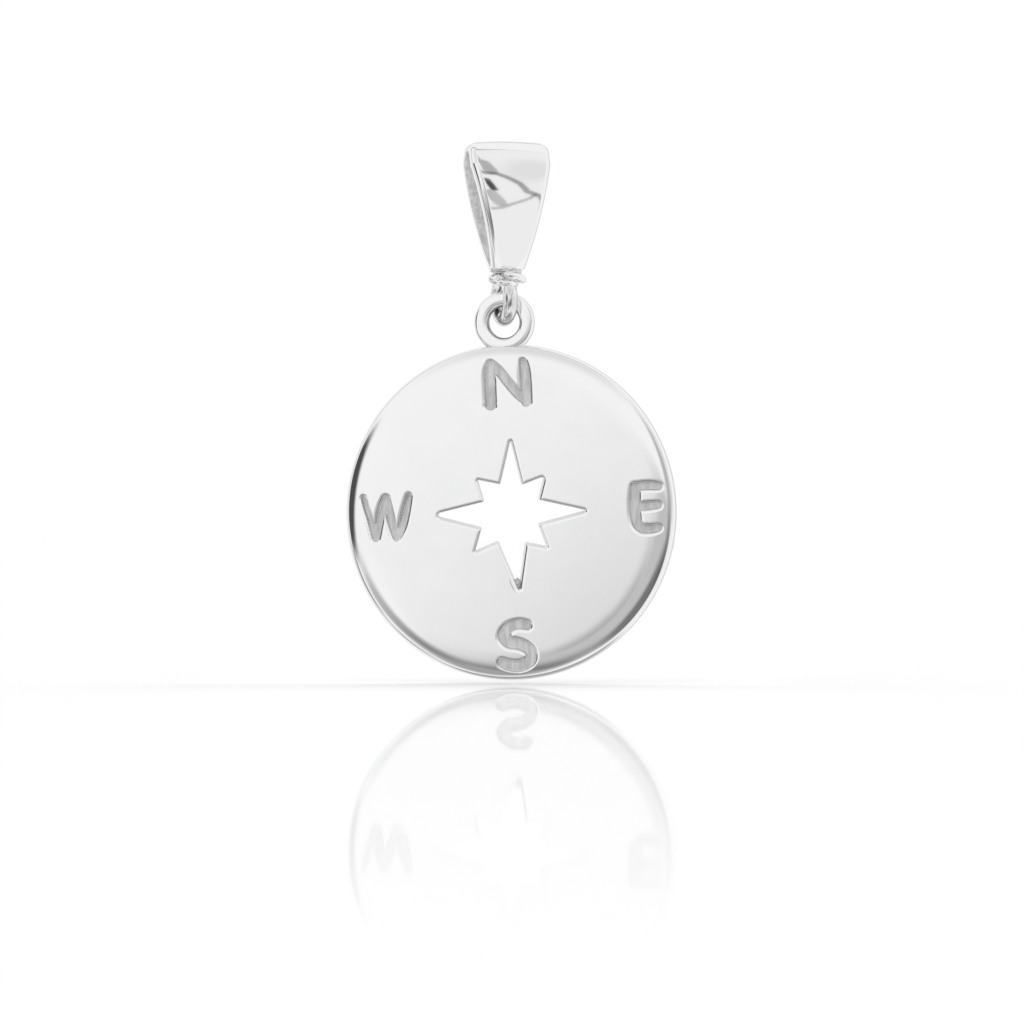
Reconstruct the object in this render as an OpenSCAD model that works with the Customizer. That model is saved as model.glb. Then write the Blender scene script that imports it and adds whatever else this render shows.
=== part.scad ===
// Compass pendant: a round plate with a pierced star and four engraved letters, hung by its eye ring
// from the link loop of a folded bail.
// Millimetres, +Z up. The plate faces -Y. The origin is the middle of the chain in the bail's crown.

/* [Plate] */
// Diameter of the plate
plate_d = 16; // [14.5:0.5:24]
// Thickness of the plate at its middle
plate_t = 0.9; // [0.75:0.05:1.3]
// Width of the band that polishing wears down along the plate's edge
soft_w = 0.9; // [0.4:0.1:1.4]
// Depth that polishing takes off each face at the edge
soft_drop = 0.08; // [0.02:0.01:0.12]
// Radius of the plate's outer corners
rim_r = 0.3; // [0.1:0.01:0.34]

/* [Star] */
// Reach of the four long arms
long_reach = 3.6; // [2.8:0.1:4.2]
// Reach of the four short arms
short_reach = 2.4; // [2:0.1:2.7]
// Distance from the middle to the notches between the arms
notch_reach = 1.52; // [1.2:0.02:1.8]
// Radius of the sawn arm tips
tip_r = 0.06; // [0.03:0.01:0.1]
// Lean of the saw, which sets the star's back outline to the left of the front one
saw_lean = 12; // [0:1:15]
// Rise of the saw, which sets the star's back outline higher than the front one
saw_rise = 5; // [0:1:8]
// Share by which the star is smaller at the back
saw_taper = 0.03; // [0:0.005:0.04]

/* [Letters] */
// Height of a letter
letter_h = 2.45; // [1.6:0.05:2.7]
// Width of an engraved stroke
stroke_w = 0.48; // [0.3:0.02:0.6]
// Depth of the engraving
letter_depth = 0.3; // [0.1:0.05:0.4]
// Distance from the star's middle to the middle of the N
letter_reach = 6.2; // [5.6:0.1:6.4]
// Distance that the star and the letters sit to the right of the plate's middle
cut_aside = 0.14; // [0:0.02:0.16]

/* [Eye ring] */
// Outer diameter of the eye ring
eye_d = 2.92; // [2.7:0.02:3.2]
// Radial thickness of the eye ring
eye_w = 0.72; // [0.5:0.02:0.76]
// Thickness of the eye ring, front to back
eye_t = 0.52; // [0.45:0.05:0.7]
// Radius of the eye ring's corners
eye_round = 0.18; // [0.1:0.02:0.22]
// Depth that the eye ring is let into the plate's edge
eye_sink = 0.4; // [0.2:0.02:0.44]

/* [Bail] */
// Height of the folded strap
bail_h = 6.14; // [5:0.02:9]
// Greatest depth of the bail, front to back
bail_depth = 2.38; // [2.2:0.02:3]
// Height of the widest part of the loop, below the crown
belly_drop = 3.05; // [2.6:0.05:3.4]
// Thickness of the strap
strap_t = 0.5; // [0.4:0.02:0.55]
// Width of the strap over the crown
crown_w = 4; // [2.4:0.02:5]
// Width of the strap at its foot
foot_w = 1.68; // [1.2:0.02:2]
// Height below the crown at which the strap starts to narrow
taper_drop = 1.05; // [0.6:0.05:1.6]
// Radius of the strap's corners at the crown, seen from the front
crown_round = 0.25; // [0.1:0.05:0.6]
// Diameter of the chain that the crown is made for
chain_d = 1; // [0.8:0.05:1.15]

/* [Collar and link] */
// Length of the collar's beads, side to side
collar_w = 1.66; // [1.4:0.02:2]
// Diameter of the collar's beads
bead_d = 0.56; // [0.4:0.02:0.6]
// Distance between the axes of the front and back beads
bead_gap = 0.6; // [0.5:0.02:0.7]
// Diameter of the link loop's wire
link_wire = 0.68; // [0.5:0.02:0.7]
// Outer diameter of the link loop
link_d = 2.52; // [2.4:0.02:2.8]
// Height of the soldered neck between the strap's foot and the beads
neck_h = 0.2; // [0.1:0.02:0.3]
// Running gap between the link loop and the eye ring that hangs in it
hang_gap = 0.24; // [0.1:0.01:0.28]

/* [Pose] */
// Turn of the bail against the plate, about the vertical
bail_turn = 30; // [0:1:40]
// Lean of the hanging plate, seen from the front
plate_lean = 2; // [-4:0.5:4]
// Distance that the eye ring rests to the left of the link's middle
eye_aside = 0.14; // [0:0.02:0.16]

/* [Hidden] */
$fn = 96;
eps = 0.01;
silver = [0.86, 0.87, 0.88];

// The side of the strap is a large arc that meets the foot and a small crown arc without a kink
foot_half = strap_t;
belly_out = bail_depth / 2;
foot_drop = bail_h - belly_drop;
side_r = (foot_drop ^ 2 + (belly_out - foot_half) ^ 2) / (2 * (belly_out - foot_half));
side_in = side_r - belly_out;
crown_r = (side_r ^ 2 - side_in ^ 2 - belly_drop ^ 2) / (2 * (side_r - belly_drop));
chain_rise = sqrt((side_r - strap_t - chain_d / 2) ^ 2 - side_in ^ 2);

// Heights, from the chain's middle at 0
belly_z = -chain_rise;
crown_z = belly_z + belly_drop;
foot_z = crown_z - bail_h;
bead_z = foot_z - neck_h - bead_d / 2;
link_r = (link_d - link_wire) / 2;
link_z = bead_z - link_r;
eye_r = (eye_d - eye_w) / 2;
hang_z = link_z - link_r + link_wire / 2 + hang_gap + eye_w / 2;
eye_reach = plate_d / 2 - eye_sink + eye_d / 2;

// Letters: each row is a point of a stroke's middle line, [across, up, width], as shares of the
// line's height and of stroke_w
N_STROKES = [
    [[-0.44, -0.5, 1.1], [-0.45, 0.2, 1.05], [-0.42, 0.47, 0.85]],
    [[-0.42, 0.46, 0.7], [-0.18, 0.2, 0.85], [0.07, -0.1, 0.9], [0.42, -0.45, 0.7]],
    [[0.42, -0.46, 0.85], [0.45, 0.1, 1], [0.44, 0.48, 0.8]]
];
W_STROKES = [
    [[-0.6, 0.52, 0.4], [-0.32, -0.48, 0.9]],
    [[-0.32, -0.46, 0.75], [0, 0.46, 0.85]],
    [[0, 0.44, 0.7], [0.22, -0.48, 0.85]],
    [[0.22, -0.46, 0.7], [0.53, 0.1, 0.8], [0.59, 0.5, 0.6]]
];
E_STROKES = [
    [[-0.27, 0.5, 1], [-0.28, -0.1, 1.05], [-0.24, -0.48, 1.05]],
    [[-0.25, 0.5, 0.82], [0.31, 0.51, 0.85]],
    [[-0.25, 0.01, 0.95], [0.29, 0.05, 0.75]],
    [[-0.22, -0.5, 0.8], [0.29, -0.48, 0.85]]
];
S_STROKES = [
    [[0.29, 0.45, 1], [0.05, 0.5, 0.95], [-0.16, 0.45, 0.95], [-0.28, 0.32, 1], [-0.29, 0.18, 1.05],
     [-0.2, 0.07, 1.1], [0, 0.03, 1.1], [0.15, 0.01, 1.1], [0.27, -0.07, 1.05], [0.34, -0.22, 1],
     [0.31, -0.37, 1.05], [0.2, -0.46, 1.1], [0, -0.51, 1.1], [-0.2, -0.51, 1.1], [-0.38, -0.43, 1.05]]
];
// [strokes, bearing clockwise from the top, distance as a share of letter_reach, size], as cut by hand
LETTERS = [
    [N_STROKES, 0, 1, 0.99],
    [E_STROKES, 90, 1.046, 1],
    [S_STROKES, 180, 1.015, 1.05],
    [W_STROKES, 270, 0.99, 0.97]
];
// [bearing, reach as a share of the arm's own size, long arm or not, then bearing and share of
// notch_reach of the notch after the arm], as sawn by hand
ARMS = [
    [1, 0.95, true, 23.2, 0.93], [45.3, 0.93, false, 67.9, 0.96],
    [91.7, 0.99, true, 116.6, 0.96], [136.6, 1, false, 157.4, 1.1],
    [176.8, 1.03, true, 207, 1.07], [225.1, 1.09, false, 243.8, 1.12],
    [269.2, 1, true, 291.5, 0.97], [314.4, 0.94, false, 338.3, 0.96]
];

function at_bearing(bearing, r) = [r * sin(bearing), r * cos(bearing)];
function arm_reach(arm) = arm[1] * (arm[2] ? long_reach : short_reach);
// Points of an arc about c from one angle to another, in n steps
function arc(c, r, from, to, n) = [for (i = [0:n]) c + r * [cos(from + (to - from) * i / n),
                                                            sin(from + (to - from) * i / n)]];

// Points of a stroke's outline: on its side at an inner point of the line, and round one of its ends
function normal(p, q) = [p[1] - q[1], q[0] - p[0]] / norm(q - p);
function spot(row, i) = [row[i][0], row[i][1]];
function side_point(row, i) =
    let(before = normal(spot(row, i - 1), spot(row, i)), after = normal(spot(row, i), spot(row, i + 1)))
    (before + after) / (1 + before * after) * row[i][2] / 2;
function cap(row, i, way) =
    let(n = normal(spot(row, i), spot(row, i + way)), at = atan2(n[1], n[0]))
    arc(spot(row, i), row[i][2] / 2, at, at + 180, 8);

// A stroke along a line of points [across, up, width], with round ends
module stroke(row) {
    last = len(row) - 1;
    inner = [for (i = [1:1:last - 1]) i];
    polygon(concat(cap(row, 0, 1), [for (i = inner) spot(row, i) - side_point(row, i)],
                   cap(row, last, -1),
                   [for (i = inner) spot(row, last - i) + side_point(row, last - i)]));
}

module letter(strokes) {
    line_h = letter_h - stroke_w;
    for (s = strokes) stroke([for (p = s) [p[0] * line_h, p[1] * line_h, p[2] * stroke_w]]);
}

// The sawn star, as one outline: the round tip of an arm, then the notch after it, eight times
star_line = [for (a = ARMS) each concat(
    arc(at_bearing(a[0], arm_reach(a) - tip_r), tip_r, 180 - a[0], -a[0], 4),
    [at_bearing(a[3], notch_reach * a[4])])];

// The star's outline at a share of the plate's thickness behind its face
function star_behind(t) = [for (p = star_line)
    [p[0] * (1 - t * saw_taper) - t * plate_t * tan(saw_lean),
     p[1] * (1 - t * saw_taper) + t * plate_t * tan(saw_rise), plate_t * (1 / 2 - t)]];

// The leaning hole of the star, from a thickness before the face to a thickness behind the back
module star() {
    n = len(star_line);
    polyhedron(concat(star_behind(-1), star_behind(2)),
               concat([[for (i = [0:n - 1]) i], [for (i = [0:n - 1]) 2 * n - 1 - i]],
                      [for (i = [0:n - 1]) [i, n + i, n + (i + 1) % n, (i + 1) % n]]));
}

// Half of the plate's outline: flat, then worn down along a soft arc, then the corner, which takes at
// most half of the rim
module plate_body() {
    soft_r = (soft_w ^ 2 + soft_drop ^ 2) / (2 * soft_drop);
    slope = asin(soft_w / soft_r);
    corner_r = min(rim_r, plate_t / 2 - soft_drop);
    soft_end = plate_d / 2 - corner_r * (1 - sin(slope));
    soft_mid = [soft_end - soft_w, plate_t / 2 - soft_r];
    corner = [plate_d / 2 - corner_r, soft_mid[1] + (soft_r - corner_r) * cos(slope)];
    front = concat(arc(soft_mid, soft_r, 90, 90 - slope, 6), arc(corner, corner_r, 90 - slope, 0, 6));
    back = [for (i = [len(front) - 1:-1:0]) [front[i][0], -front[i][1]]];
    rotate_extrude() polygon(concat([[0, plate_t / 2]], front, back, [[0, -plate_t / 2]]));
}

// A flat ring with rounded corners
module eye_body() {
    rotate_extrude() translate([eye_r, 0]) {
        square([eye_w, eye_t - 2 * eye_round], center = true);
        square([eye_w - 2 * eye_round, eye_t], center = true);
        for (x = [-1, 1], y = [-1, 1])
            translate([x * (eye_w / 2 - eye_round), y * (eye_t / 2 - eye_round)]) circle(r = eye_round);
    }
}

// Drawn lying down with the face up, then stood up and hung on the link
module compass_disc() {
    color(silver)
    translate([-eye_aside, 0, hang_z]) rotate([0, -plate_lean, 0]) translate([0, 0, -eye_r - eye_reach])
    rotate([90, 0, 0]) {
        difference() {
            plate_body();
            translate([cut_aside, 0]) star();
            translate([cut_aside, 0, plate_t / 2 - letter_depth]) linear_extrude(letter_depth + 1)
                for (l = LETTERS)
                    translate(at_bearing(l[1], letter_reach * l[2])) scale(l[3]) letter(l[0]);
        }
        translate([0, eye_reach]) eye_body();
    }
}

// Side view of the folded strap, or of the space in it when t is the strap's thickness
module strap_side(t) {
    join_z = belly_z + (side_r - t) * (crown_z - crown_r - belly_z) / (side_r - crown_r);
    intersection() {
        translate([-side_in, belly_z]) circle(r = side_r - t, $fn = 360);
        translate([side_in, belly_z]) circle(r = side_r - t, $fn = 360);
        translate([-bail_depth, foot_z]) square([2 * bail_depth, join_z - foot_z]);
    }
    translate([0, crown_z - crown_r]) circle(r = crown_r - t);
}

// Front view of the strap: full width over the crown, narrowing to the foot
module strap_front() {
    top = crown_z - crown_round;
    polygon([[-foot_w / 2, foot_z], [foot_w / 2, foot_z], [crown_w / 2, crown_z - taper_drop],
             [crown_w / 2, top], [-crown_w / 2, top], [-crown_w / 2, crown_z - taper_drop]]);
    translate([-crown_w / 2 + crown_round, top - eps])
        square([crown_w - 2 * crown_round, crown_round + 2 * eps]);
    for (x = [-1, 1]) translate([x * (crown_w / 2 - crown_round), top]) circle(r = crown_round);
}

module bead(length) {
    run = length - bead_d;
    rotate([0, 90, 0]) cylinder(d = bead_d, h = run, center = true);
    for (x = [-1, 1]) translate([x * run / 2, 0, 0]) sphere(d = bead_d);
}

module bail() {
    color(silver)
    rotate([0, 0, bail_turn]) {
        intersection() {
            rotate([90, 0, 90]) linear_extrude(2 * crown_w, center = true) difference() {
                strap_side(0);
                strap_side(strap_t);
            }
            rotate([90, 0, 0]) linear_extrude(2 * bail_depth, center = true) strap_front();
        }
        for (y = [-1, 1]) translate([0, y * bead_gap / 2, bead_z]) bead(collar_w);
        translate([bead_d - collar_w, -bead_gap, 0] / 2 + [0, 0, bead_z])
            cube([collar_w - bead_d, bead_gap, foot_z + neck_h - bead_z]);
        translate([0, 0, link_z]) rotate([0, 90, 0]) rotate_extrude() translate([link_r, 0])
            circle(d = link_wire);
    }
}

bail();
compass_disc();
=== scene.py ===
"""Compass pendant: the looks of the bail, the engraved plate and its eye ring, in the part's frame."""

from math import asin, atan, atan2, cos, degrees, pi, radians, sin, sqrt, tan

import bmesh
import bpy
import numpy as np
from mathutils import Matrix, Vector
from mathutils.geometry import delaunay_2d_cdt


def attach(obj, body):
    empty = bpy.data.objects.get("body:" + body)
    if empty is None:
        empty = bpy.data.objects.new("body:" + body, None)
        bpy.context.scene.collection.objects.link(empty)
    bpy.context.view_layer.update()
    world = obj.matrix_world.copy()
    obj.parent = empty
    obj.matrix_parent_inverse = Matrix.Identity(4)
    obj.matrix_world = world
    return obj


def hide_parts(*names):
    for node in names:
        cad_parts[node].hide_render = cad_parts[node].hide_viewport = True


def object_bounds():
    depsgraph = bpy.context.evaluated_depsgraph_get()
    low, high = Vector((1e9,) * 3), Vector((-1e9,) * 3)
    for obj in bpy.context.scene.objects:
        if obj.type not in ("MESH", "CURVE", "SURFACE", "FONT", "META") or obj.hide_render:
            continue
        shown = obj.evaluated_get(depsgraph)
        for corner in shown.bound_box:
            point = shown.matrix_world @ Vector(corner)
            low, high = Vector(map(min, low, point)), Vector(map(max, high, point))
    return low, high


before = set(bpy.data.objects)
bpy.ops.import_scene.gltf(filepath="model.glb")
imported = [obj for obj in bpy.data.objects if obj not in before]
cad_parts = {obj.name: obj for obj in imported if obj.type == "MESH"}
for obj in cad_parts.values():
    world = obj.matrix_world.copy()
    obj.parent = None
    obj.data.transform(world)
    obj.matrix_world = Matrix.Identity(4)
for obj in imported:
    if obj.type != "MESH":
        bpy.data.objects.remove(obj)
cad_low, cad_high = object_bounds()

MM = 0.001

# Welding distances, in m, and the radius in mm to which a round profile's closed ends shrink
WELD = 2e-7
FINE_WELD = 3e-8
PLATE_WELD = 2e-8
TIP_R = 1e-5

# Plate, in mm, in its own frame: across, up, out of the face
CAD_PLATE_R = 8.0
PLATE_R = 7.995
PLATE_T = 0.9
SOFT_W = 1.35
SOFT_DROP = 0.12
RIM_R = 0.3
PLATE_LEAN = radians(2)

# Star and letters
LONG_REACH = 3.6
SHORT_REACH = 2.4
NOTCH_REACH = 1.52
SAW_LEAN = radians(12)
SAW_RISE = radians(3.5)
SAW_IN = 0.06
LETTER_H = 2.45
STROKE_W = 0.48
LETTER_DEPTH = 0.3
LETTER_DRAFT = 0.12
LETTER_FILLET = 0.05
LETTER_REACH = 6.2
CUT_ASIDE = 0.14

# Eye ring
EYE_D = 2.92
EYE_W = 0.72
EYE_T = 0.52
EYE_ROUND = 0.18
EYE_SINK = 0.4
EYE_ASIDE = 0.14
EYE_R = (EYE_D - EYE_W) / 2
EYE_TURNS = 192
EYE_REACH = CAD_PLATE_R - EYE_SINK + EYE_D / 2

# Bail, in its own frame: across, back, up
BAIL_H = 6.14
BAIL_DEPTH = 2.38
BELLY_DROP = 3.05
STRAP_T = 0.5
CROWN_W = 4.0
FOOT_W = 1.68
TAPER_DROP = 1.05
CROWN_ROUND = 0.25
CHAIN_D = 1.0
COLLAR_W = 1.66
BEAD_D = 0.56
BEAD_GAP = 0.6
LINK_WIRE = 0.68
LINK_D = 2.52
LINK_THICK = 0.71
LINK_ASIDE = -0.13
LINK_TURNS, WIRE_TURNS = 160, 48
NECK_H = 0.2
HANG_GAP = 0.24
BAIL_TURN = radians(30)

FOOT_DROP = BAIL_H - BELLY_DROP
SIDE_R = (FOOT_DROP ** 2 + (BAIL_DEPTH / 2 - STRAP_T) ** 2) / (2 * (BAIL_DEPTH / 2 - STRAP_T))
SIDE_IN = SIDE_R - BAIL_DEPTH / 2
CROWN_R = (SIDE_R ** 2 - SIDE_IN ** 2 - BELLY_DROP ** 2) / (2 * (SIDE_R - BELLY_DROP))
BELLY_Z = -sqrt((SIDE_R - STRAP_T - CHAIN_D / 2) ** 2 - SIDE_IN ** 2)
CROWN_Z = BELLY_Z + BELLY_DROP
FOOT_Z = CROWN_Z - BAIL_H
BEAD_Z = FOOT_Z - NECK_H - BEAD_D / 2
LINK_R = (LINK_D - LINK_WIRE) / 2
LINK_Z = BEAD_Z - LINK_R
HANG_Z = LINK_Z - LINK_R + LINK_WIRE / 2 + HANG_GAP + EYE_W / 2


# Places and meshes

def hung(points):
    """Points of the plate's own frame, in mm, in the part's frame: stood up, leant and hung on the link."""
    across, up, out = points[..., 0], points[..., 1] - EYE_R - EYE_REACH, points[..., 2]
    return np.stack([across * cos(PLATE_LEAN) - up * sin(PLATE_LEAN) - EYE_ASIDE, -out,
                     across * sin(PLATE_LEAN) + up * cos(PLATE_LEAN) + HANG_Z], -1) * MM


def turned(points):
    """Points of the bail's own frame, in mm, in the part's frame: turned about the vertical."""
    across, back, up = points[..., 0], points[..., 1], points[..., 2]
    return np.stack([across * cos(BAIL_TURN) - back * sin(BAIL_TURN),
                     across * sin(BAIL_TURN) + back * cos(BAIL_TURN), up], -1) * MM


def angles(count):
    """Even angles round a circle."""
    return np.arange(count) * 2 * pi / count


def grid_faces(rows, columns, wrap_rows=False, wrap_columns=False):
    """Quads of a grid of points, rows by columns, each wrapped round if asked."""
    i = np.arange(rows if wrap_rows else rows - 1)
    j = np.arange(columns if wrap_columns else columns - 1)
    i, j = np.meshgrid(i, j, indexing="ij")
    down, right = (i + 1) % rows, (j + 1) % columns
    return np.stack([i * columns + j, i * columns + right, down * columns + right, down * columns + j],
                    -1).reshape(-1, 4)


class Piece:
    """Patches of surface that are joined and welded into one mesh object."""

    def __init__(self):
        self.points, self.faces, self.finish, self.count = [], [], [], 0

    def add(self, points, faces, finish=0):
        """Points and the faces between them, in one finish."""
        points = np.asarray(points, float).reshape(-1, 3)
        for f in np.asarray(faces):
            self.faces.append([int(k) + self.count for k in f])
            self.finish.append(finish)
        self.points.append(points)
        self.count += len(points)

    def grid(self, points, wrap_rows=False, wrap_columns=False, finish=0):
        """A grid of points, rows by columns, in one finish."""
        self.add(points, grid_faces(*points.shape[:2], wrap_rows, wrap_columns), finish)

    def made(self, name, finishes, body, node, slot, weld=WELD, normals=None):
        """The mesh object: welded, facing outward, and given to its body and node. slot is not used. normals
        answers the places and normals of the mesh with better normals."""
        mesh = bpy.data.meshes.new(name)
        mesh.from_pydata(np.vstack(self.points).tolist(), [], self.faces)
        mesh.polygons.foreach_set("material_index", self.finish)
        mesh.polygons.foreach_set("use_smooth", [True] * len(self.faces))
        work = bmesh.new()
        work.from_mesh(mesh)
        bmesh.ops.remove_doubles(work, verts=work.verts, dist=weld)
        bmesh.ops.recalc_face_normals(work, faces=work.faces)
        work.to_mesh(mesh)
        work.free()
        if normals:
            place = np.empty(3 * len(mesh.vertices), np.float32)
            mesh.vertices.foreach_get("co", place)
            there = np.array([v.normal for v in mesh.vertices])
            mesh.normals_split_custom_set_from_vertices(normals(place.reshape(-1, 3), there).tolist())
        for f in finishes:
            mesh.materials.append(f)
        thing = bpy.data.objects.new(name, mesh)
        bpy.context.scene.collection.objects.link(thing)
        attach(thing, body)
        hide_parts(node)
        return thing


# Outlines cut in the plate

N_STROKES = [
    [[-0.42, 0.46, 0.8], [-0.45, 0.25, 1.06], [-0.455, -0.1, 1.08], [-0.45, -0.5, 1.05]],
    [[-0.5, -0.56, 0.72], [-0.4, -0.57, 0.72]],
    [[-0.4, 0.45, 0.85], [-0.2, 0.24, 0.85], [0, -0.03, 0.85], [0.2, -0.27, 0.88], [0.42, -0.46, 0.9]],
    [[0.39, 0.48, 0.8], [0.42, 0.25, 1], [0.435, -0.1, 1.03], [0.45, -0.46, 0.95]],
    [[0.41, -0.52, 0.7], [0.48, -0.5, 0.7]],
]
W_STROKES = [
    [[-0.565, 0.485, 0.5], [-0.5, 0.22, 0.55], [-0.41, -0.05, 0.62], [-0.285, -0.52, 0.75]],
    [[-0.27, -0.52, 0.75], [-0.18, -0.1, 0.8], [-0.08, 0.22, 0.82], [0.015, 0.44, 0.74]],
    [[0.015, 0.44, 0.74], [0.07, 0.15, 0.8], [0.125, -0.12, 0.8], [0.24, -0.52, 0.75]],
    [[0.26, -0.52, 0.75], [0.4, -0.24, 0.8], [0.505, 0.13, 0.76], [0.6, 0.49, 0.56]],
]
E_STROKES = [
    [[-0.26, 0.5, 0.85], [-0.285, 0.2, 1], [-0.285, -0.15, 1], [-0.24, -0.4, 0.92], [-0.12, -0.52, 0.8]],
    [[-0.24, 0.5, 0.75], [0.05, 0.52, 0.78], [0.31, 0.5, 0.74]],
    [[-0.25, 0.02, 0.8], [0.05, 0.03, 0.75], [0.29, 0.05, 0.7]],
    [[-0.12, -0.52, 0.8], [0.1, -0.53, 0.75], [0.28, -0.5, 0.7]],
]
S_STROKES = [
    [[0.28, 0.46, 0.85], [0.165, 0.489, 0.9], [0.013, 0.489, 0.92], [-0.162, 0.434, 0.98],
     [-0.284, 0.307, 1.08], [-0.315, 0.157, 1.12], [-0.185, 0.037, 1.1], [0.013, 0.007, 1.08],
     [0.195, -0.067, 1.06], [0.325, -0.187, 1.04], [0.355, -0.337, 1.02], [0.256, -0.479, 1.05],
     [0.043, -0.554, 1.08], [-0.185, -0.531, 1.06], [-0.383, -0.456, 0.98]],
    [[0.3, 0.51, 0.5], [0.3, 0.41, 0.5]],
]
LETTERS = {
    "n": (N_STROKES, 0, 1.0, 0.99),
    "e": (E_STROKES, 90, 1.046, 1.0),
    "s": (S_STROKES, 180, 1.015, 0.97),
    "w": (W_STROKES, 270, 0.99, 0.97),
}
# Bearing, reach and tip radius of each sawn arm, then bearing and reach of the notch after it
ARMS = [
    (1, 0.94 * LONG_REACH, 0.065, 23.2, 0.93), (45.3, 0.93 * SHORT_REACH, 0.13, 67.9, 0.96),
    (91.2, 0.99 * LONG_REACH, 0.075, 116.6, 0.96), (136.6, SHORT_REACH, 0.06, 157.4, 1.1),
    (176.8, 1.03 * LONG_REACH, 0.07, 207, 1.07), (225.1, 1.09 * SHORT_REACH, 0.055, 243.8, 1.12),
    (269.2, LONG_REACH, 0.15, 291.5, 0.97), (314.4, 0.94 * SHORT_REACH, 0.06, 338.3, 0.96),
]
BLEND = 0.016
NOTCH_R = 0.03
LEAST_R = 0.002


def curved(line, steps=5):
    """A line through its points without corners: Catmull-Rom, steps pieces to a point."""
    p = np.array(line, float)
    p = np.vstack([2 * p[0] - p[1], p, 2 * p[-1] - p[-2]])
    t = np.linspace(0, 1, steps, endpoint=False)[:, None]
    out = []
    for a, b, c, d in zip(p, p[1:], p[2:], p[3:]):
        out.append(0.5 * (2 * b + (c - a) * t + (2 * a - 5 * b + 4 * c - d) * t ** 2
                          + (3 * b - a - 3 * c + d) * t ** 3))
    return np.vstack(out + [p[-2:-1]])


def letter_segments(name):
    """Rows of a letter's strokes as straight pieces: both ends and both half widths, in plate mm."""
    strokes, bearing, reach, size = LETTERS[name]
    centre = at_bearing(bearing, LETTER_REACH * reach) + [CUT_ASIDE, 0]
    rows = []
    for stroke in strokes:
        line = curved(stroke) * np.array([LETTER_H - STROKE_W, LETTER_H - STROKE_W, STROKE_W / 2]) * size
        line[:, :2] += centre
        rows += [np.hstack([a, b]) for a, b in zip(line, line[1:])]
    return np.array(rows)


def letter_field(rows):
    """Distance from the edge of a letter, less than 0 inside: the smooth least of the distances to its
    tapered strokes."""
    a, ra, b, rb = rows[:, 0:2], rows[:, 2], rows[:, 3:5], rows[:, 5]
    along = b - a
    length2 = (along ** 2).sum(1)

    def field(p):
        away = p[:, None, :] - a
        t = np.clip((away * along).sum(2) / length2, 0, 1)
        d = np.linalg.norm(away - t[..., None] * along, axis=2) - ra - t * (rb - ra)
        least = d.min(1, keepdims=True)
        return least[:, 0] - BLEND * np.log(np.exp((least - d) / BLEND).sum(1))
    return field


def at_bearing(bearing, r):
    """Across and up at a bearing in degrees, clockwise from the top, and a radius."""
    return np.array([sin(radians(bearing)), cos(radians(bearing))]) * r


def star_corners():
    """The sawn star's sharp outline, clockwise: each tip, where the sides that touch its arc meet, and the
    notch after it, with the radius of the arc at each."""
    notches = [at_bearing(arm[3], NOTCH_REACH * arm[4]) for arm in ARMS]
    corners, radii = [], []
    for k, (bearing, reach, tip, _, _) in enumerate(ARMS):
        centre = at_bearing(bearing, reach - tip)
        ends = (notches[k - 1], notches[k])
        sides = []
        for notch, way in zip(ends, (1, -1)):
            run = centre - notch
            lean = way * asin(tip / np.linalg.norm(run))
            sides.append(np.array([run[0] * cos(lean) - run[1] * sin(lean),
                                   run[0] * sin(lean) + run[1] * cos(lean)]))
        along = np.linalg.solve(np.column_stack([sides[0], -sides[1]]), ends[1] - ends[0])[0]
        corners += [ends[0] + sides[0] * along, ends[1]]
        radii += [tip, NOTCH_R]
    return np.array(corners), np.array(radii)


def star_ring(level, arc_steps=12, gap=0.09):
    """The star's outline moved into the metal by a level: every side is moved square to itself, and every
    corner is an arc, wider by the level at a tip and tighter at a notch."""
    corners, radii = star_corners()
    count = len(corners)
    run = np.roll(corners, -1, 0) - corners
    length = np.linalg.norm(run, axis=1)
    run /= length[:, None]
    out = np.column_stack([-run[:, 1], run[:, 0]])
    shift = (out * corners).sum(1) + level
    moved = np.array([np.linalg.solve([out[k - 1], out[k]], [shift[k - 1], shift[k]]) for k in range(count)])
    radii = np.maximum(radii + np.where(np.arange(count) % 2 == 0, level, -level), LEAST_R)
    arcs = []
    for k in range(count):
        u, v = -run[k - 1], run[k]
        half = np.arccos(np.clip(u @ v, -1, 1)) / 2
        centre = moved[k] + (u + v) / np.linalg.norm(u + v) * radii[k] / sin(half)
        first, last = (moved[k] + w * radii[k] / tan(half) - centre for w in (u, v))
        start = atan2(first[1], first[0])
        sweep = (atan2(last[1], last[0]) - start + pi) % (2 * pi) - pi
        turn = start + sweep * np.linspace(0, 1, arc_steps)
        arcs.append(centre + radii[k] * np.column_stack([np.cos(turn), np.sin(turn)]))
    points = []
    for k in range(count):
        a, b = arcs[k][-1], arcs[(k + 1) % count][0]
        steps = max(2, int(length[k] / gap))
        points += [arcs[k], a + (b - a) * np.linspace(0, 1, steps + 1)[1:-1, None]]
    return np.vstack(points)


def slope_of(field, p, step=1e-4):
    """Value and slope of a field at each point."""
    at = np.concatenate([p, p + [step, 0], p - [step, 0], p + [0, step], p - [0, step]])
    v, right, left, up, down = np.split(field(at), 5)
    return v, np.stack([right - left, up - down], 1) / (2 * step)


def moved_to(field, p, level, tries=3):
    """Points slid along the field's slope until the field is level there."""
    for _ in range(tries):
        v, g = slope_of(field, p)
        p = p + ((level - v) / (g ** 2).sum(1))[:, None] * g
    return p


def walked(field, start, step=0.02, most=6000):
    """The closed line on which a field is 0, in even steps, walked with the inside on the left."""
    p = moved_to(field, np.array([start], float), 0.0, 6)
    line = [p[0]]
    while len(line) < most:
        g = slope_of(field, p)[1][0]
        ahead = np.array([-g[1], g[0]]) / np.linalg.norm(g)
        p = moved_to(field, p + step * ahead, 0.0, 2)
        if len(line) > 20 and np.linalg.norm(p[0] - line[0]) < 0.8 * step:
            break
        line.append(p[0])
    return np.array(line)


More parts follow.
